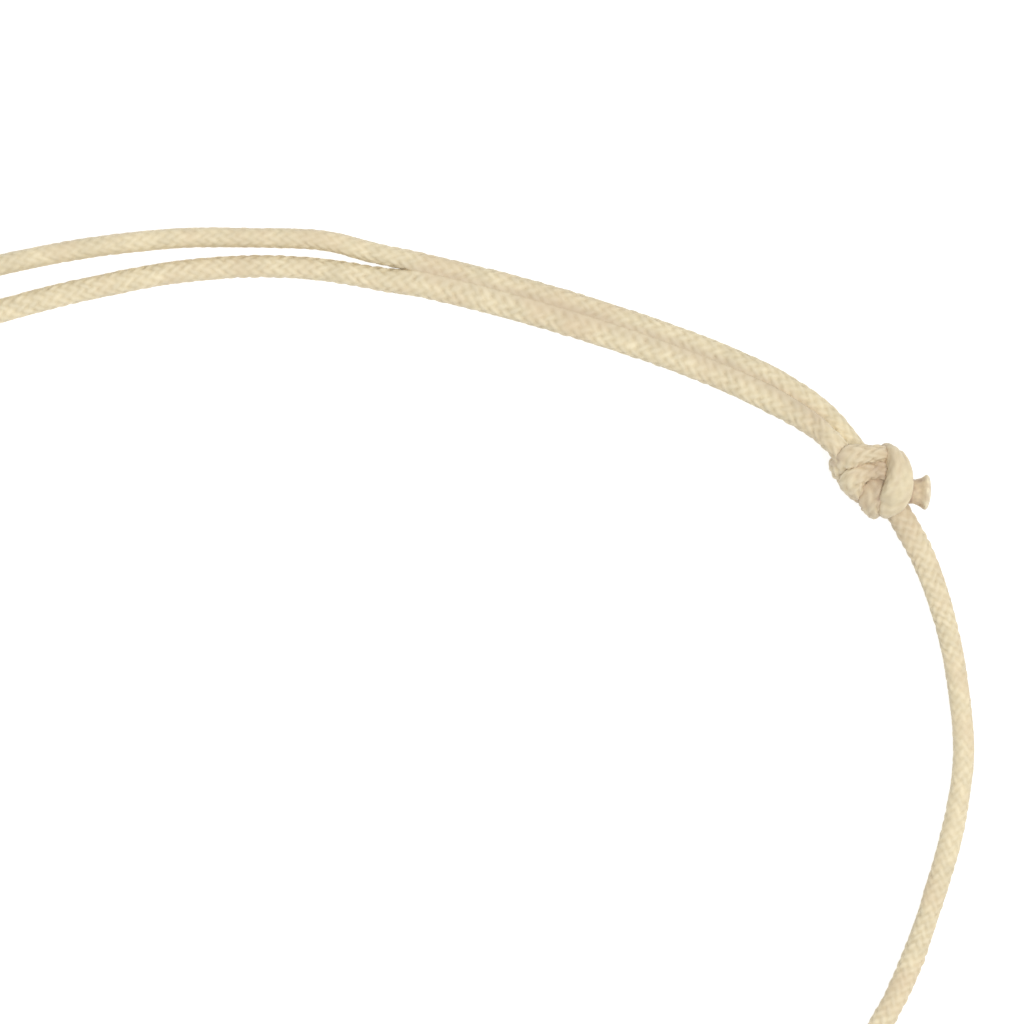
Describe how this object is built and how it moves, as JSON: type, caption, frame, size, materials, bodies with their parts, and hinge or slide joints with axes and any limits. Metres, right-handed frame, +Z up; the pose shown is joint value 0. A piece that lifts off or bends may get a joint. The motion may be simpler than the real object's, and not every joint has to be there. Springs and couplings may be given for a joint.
{
  "type": "adjustable braided cord bracelet",
  "caption": "Thin braided cord bracelet laid flat: a wrist loop whose ends run side by side and are tied round each other in sliding knots with short melted tails.",
  "frame": {"origin": "middle of the laid bracelet's box, on the surface that it lies on", "axes": "+X across the wrist from the left knot to the right knot, +Y from the front of the loop to the knotted side, +Z up"},
  "size_m": [0.0656, 0.0508, 0.0032],
  "materials": {
    "braided_cord": "cream braided cord, soft sheen",
    "knotted_cord": "the same cord, pulled tight and creased lengthwise",
    "melted_end": "the same cord, cut and melted to a small hard rim"
  },
  "bodies": {
    "root": {"wrist_loop": "braided_cord", "outer_strand": "braided_cord", "inner_strand": "braided_cord", "right_knot": "knotted_cord", "left_knot": "knotted_cord", "right_tail": "melted_end", "left_tail": "melted_end"}
  },
  "joints": []
}
